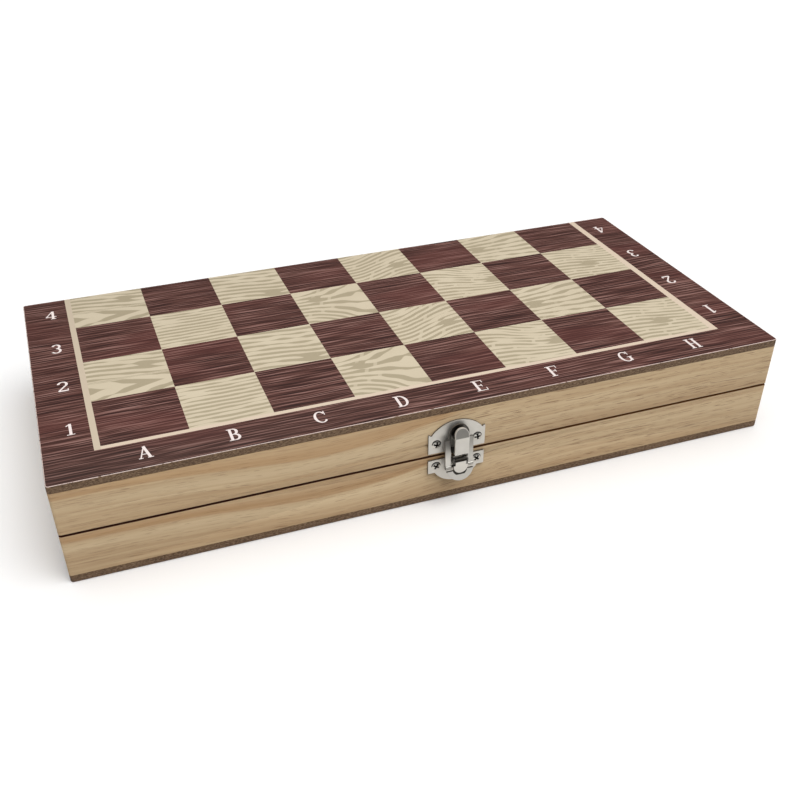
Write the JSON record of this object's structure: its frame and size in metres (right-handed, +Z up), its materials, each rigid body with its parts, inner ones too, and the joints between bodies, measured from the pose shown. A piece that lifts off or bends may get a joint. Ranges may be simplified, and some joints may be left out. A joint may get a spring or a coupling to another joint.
{
  "type": "folding chess set",
  "caption": "Folding wooden chess box: two trays hinged at the back, half the board printed on each, toggle latch in front, chessmen lying inside.",
  "frame": {"origin": "middle of the box's underside, left to right and front to back, latch and hinges left out", "axes": "+X to the right along the length, +Y to the hinged back, +Z up"},
  "size_m": [0.29, 0.1501, 0.0424],
  "materials": {
    "printed_board": "printed film on fibreboard, satin",
    "pine": "clear lacquered pine, satin",
    "nickel": "bright nickel plate on pressed steel",
    "light_wood": "lacquered pale wood",
    "dark_wood": "lacquered wood stained dark brown"
  },
  "bodies": {
    "lower_half": {"lower_panel": "printed_board", "lower_front_rail": "pine", "lower_back_rail": "pine", "lower_left_rail": "pine", "lower_right_rail": "pine", "left_hinge_lower_leaf": "nickel", "right_hinge_lower_leaf": "nickel", "left_hinge_pin": "nickel", "right_hinge_pin": "nickel", "lower_hinge_screws": "nickel", "latch_base_plate": "nickel", "latch_base_screws": "nickel", "latch_lever_pin": "nickel"},
    "upper_half": {"upper_panel": "printed_board", "upper_front_rail": "pine", "upper_back_rail": "pine", "upper_left_rail": "pine", "upper_right_rail": "pine", "left_hinge_upper_leaf": "nickel", "right_hinge_upper_leaf": "nickel", "upper_hinge_screws": "nickel", "latch_keeper_plate": "nickel", "latch_keeper_screws": "nickel"},
    "latch_lever": {"latch_lever": "nickel", "latch_loop_pin": "nickel"},
    "latch_loop": {"latch_loop": "nickel"},
    "light_queens_rook": {"light_queens_rook": "light_wood"},
    "light_queens_knight": {"light_queens_knight": "light_wood"},
    "light_queens_bishop": {"light_queens_bishop": "light_wood"},
    "light_queen": {"light_queen": "light_wood"},
    "light_king": {"light_king": "light_wood"},
    "light_kings_bishop": {"light_kings_bishop": "light_wood"},
    "light_kings_knight": {"light_kings_knight": "light_wood"},
    "light_kings_rook": {"light_kings_rook": "light_wood"},
    "light_pawn_1": {"light_pawn_1": "light_wood"},
    "light_pawn_2": {"light_pawn_2": "light_wood"},
    "light_pawn_3": {"light_pawn_3": "light_wood"},
    "light_pawn_4": {"light_pawn_4": "light_wood"},
    "light_pawn_5": {"light_pawn_5": "light_wood"},
    "light_pawn_6": {"light_pawn_6": "light_wood"},
    "light_pawn_7": {"light_pawn_7": "light_wood"},
    "light_pawn_8": {"light_pawn_8": "light_wood"},
    "dark_queens_rook": {"dark_queens_rook": "dark_wood"},
    "dark_queens_knight": {"dark_queens_knight": "dark_wood"},
    "dark_queens_bishop": {"dark_queens_bishop": "dark_wood"},
    "dark_queen": {"dark_queen": "dark_wood"},
    "dark_king": {"dark_king": "dark_wood"},
    "dark_kings_bishop": {"dark_kings_bishop": "dark_wood"},
    "dark_kings_knight": {"dark_kings_knight": "dark_wood"},
    "dark_kings_rook": {"dark_kings_rook": "dark_wood"},
    "dark_pawn_1": {"dark_pawn_1": "dark_wood"},
    "dark_pawn_2": {"dark_pawn_2": "dark_wood"},
    "dark_pawn_3": {"dark_pawn_3": "dark_wood"},
    "dark_pawn_4": {"dark_pawn_4": "dark_wood"},
    "dark_pawn_5": {"dark_pawn_5": "dark_wood"},
    "dark_pawn_6": {"dark_pawn_6": "dark_wood"},
    "dark_pawn_7": {"dark_pawn_7": "dark_wood"},
    "dark_pawn_8": {"dark_pawn_8": "dark_wood"}
  },
  "joints": [
    {"name": "lid_hinge", "type": "hinge", "parent": "lower_half", "child": "upper_half", "pos_m": [0, 0.0712, 0.0212], "axis": [-1, 0, 0], "range_deg": [0, 180]},
    {"name": "latch_lever_pivot", "type": "hinge", "parent": "lower_half", "child": "latch_lever", "pos_m": [0.0025, -0.0753, 0.02], "axis": [-1, 0, 0], "range_deg": [0, 130]},
    {"name": "latch_loop_pivot", "type": "hinge", "parent": "latch_lever", "child": "latch_loop", "pos_m": [0.0025, -0.0745, 0.017], "axis": [-1, 0, 0], "range_deg": [-116, 0]},
    {"name": "light_queens_rook_lift", "type": "slide", "parent": "lower_half", "child": "light_queens_rook", "axis": [0, 0, 1], "range_m": [0, 0.014]},
    {"name": "light_queens_knight_lift", "type": "slide", "parent": "lower_half", "child": "light_queens_knight", "axis": [0, 0, 1], "range_m": [0, 0.014]},
    {"name": "light_queens_bishop_lift", "type": "slide", "parent": "lower_half", "child": "light_queens_bishop", "axis": [0, 0, 1], "range_m": [0, 0.014]},
    {"name": "light_queen_lift", "type": "slide", "parent": "lower_half", "child": "light_queen", "axis": [0, 0, 1], "range_m": [0, 0.014]},
    {"name": "light_king_lift", "type": "slide", "parent": "lower_half", "child": "light_king", "axis": [0, 0, 1], "range_m": [0, 0.014]},
    {"name": "light_kings_bishop_lift", "type": "slide", "parent": "lower_half", "child": "light_kings_bishop", "axis": [0, 0, 1], "range_m": [0, 0.014]},
    {"name": "light_kings_knight_lift", "type": "slide", "parent": "lower_half", "child": "light_kings_knight", "axis": [0, 0, 1], "range_m": [0, 0.014]},
    {"name": "light_kings_rook_lift", "type": "slide", "parent": "lower_half", "child": "light_kings_rook", "axis": [0, 0, 1], "range_m": [0, 0.014]},
    {"name": "light_pawn_1_lift", "type": "slide", "parent": "lower_half", "child": "light_pawn_1", "axis": [0, 0, 1], "range_m": [0, 0.014]},
    {"name": "light_pawn_2_lift", "type": "slide", "parent": "lower_half", "child": "light_pawn_2", "axis": [0, 0, 1], "range_m": [0, 0.014]},
    {"name": "light_pawn_3_lift", "type": "slide", "parent": "lower_half", "child": "light_pawn_3", "axis": [0, 0, 1], "range_m": [0, 0.014]},
    {"name": "light_pawn_4_lift", "type": "slide", "parent": "lower_half", "child": "light_pawn_4", "axis": [0, 0, 1], "range_m": [0, 0.014]},
    {"name": "light_pawn_5_lift", "type": "slide", "parent": "lower_half", "child": "light_pawn_5", "axis": [0, 0, 1], "range_m": [0, 0.014]},
    {"name": "light_pawn_6_lift", "type": "slide", "parent": "lower_half", "child": "light_pawn_6", "axis": [0, 0, 1], "range_m": [0, 0.014]},
    {"name": "light_pawn_7_lift", "type": "slide", "parent": "lower_half", "child": "light_pawn_7", "axis": [0, 0, 1], "range_m": [0, 0.014]},
    {"name": "light_pawn_8_lift", "type": "slide", "parent": "lower_half", "child": "light_pawn_8", "axis": [0, 0, 1], "range_m": [0, 0.014]},
    {"name": "dark_queens_rook_lift", "type": "slide", "parent": "lower_half", "child": "dark_queens_rook", "axis": [0, 0, 1], "range_m": [0, 0.014]},
    {"name": "dark_queens_knight_lift", "type": "slide", "parent": "lower_half", "child": "dark_queens_knight", "axis": [0, 0, 1], "range_m": [0, 0.014]},
    {"name": "dark_queens_bishop_lift", "type": "slide", "parent": "lower_half", "child": "dark_queens_bishop", "axis": [0, 0, 1], "range_m": [0, 0.014]},
    {"name": "dark_queen_lift", "type": "slide", "parent": "lower_half", "child": "dark_queen", "axis": [0, 0, 1], "range_m": [0, 0.014]},
    {"name": "dark_king_lift", "type": "slide", "parent": "lower_half", "child": "dark_king", "axis": [0, 0, 1], "range_m": [0, 0.014]},
    {"name": "dark_kings_bishop_lift", "type": "slide", "parent": "lower_half", "child": "dark_kings_bishop", "axis": [0, 0, 1], "range_m": [0, 0.014]},
    {"name": "dark_kings_knight_lift", "type": "slide", "parent": "lower_half", "child": "dark_kings_knight", "axis": [0, 0, 1], "range_m": [0, 0.014]},
    {"name": "dark_kings_rook_lift", "type": "slide", "parent": "lower_half", "child": "dark_kings_rook", "axis": [0, 0, 1], "range_m": [0, 0.014]},
    {"name": "dark_pawn_1_lift", "type": "slide", "parent": "lower_half", "child": "dark_pawn_1", "axis": [0, 0, 1], "range_m": [0, 0.014]},
    {"name": "dark_pawn_2_lift", "type": "slide", "parent": "lower_half", "child": "dark_pawn_2", "axis": [0, 0, 1], "range_m": [0, 0.014]},
    {"name": "dark_pawn_3_lift", "type": "slide", "parent": "lower_half", "child": "dark_pawn_3", "axis": [0, 0, 1], "range_m": [0, 0.014]},
    {"name": "dark_pawn_4_lift", "type": "slide", "parent": "lower_half", "child": "dark_pawn_4", "axis": [0, 0, 1], "range_m": [0, 0.014]},
    {"name": "dark_pawn_5_lift", "type": "slide", "parent": "lower_half", "child": "dark_pawn_5", "axis": [0, 0, 1], "range_m": [0, 0.014]},
    {"name": "dark_pawn_6_lift", "type": "slide", "parent": "lower_half", "child": "dark_pawn_6", "axis": [0, 0, 1], "range_m": [0, 0.014]},
    {"name": "dark_pawn_7_lift", "type": "slide", "parent": "lower_half", "child": "dark_pawn_7", "axis": [0, 0, 1], "range_m": [0, 0.014]},
    {"name": "dark_pawn_8_lift", "type": "slide", "parent": "lower_half", "child": "dark_pawn_8", "axis": [0, 0, 1], "range_m": [0, 0.014]}
  ],
  "couplings": [
    {"joint": "latch_loop_pivot", "follows": "latch_lever_pivot", "ratio": -0.888}
  ]
}
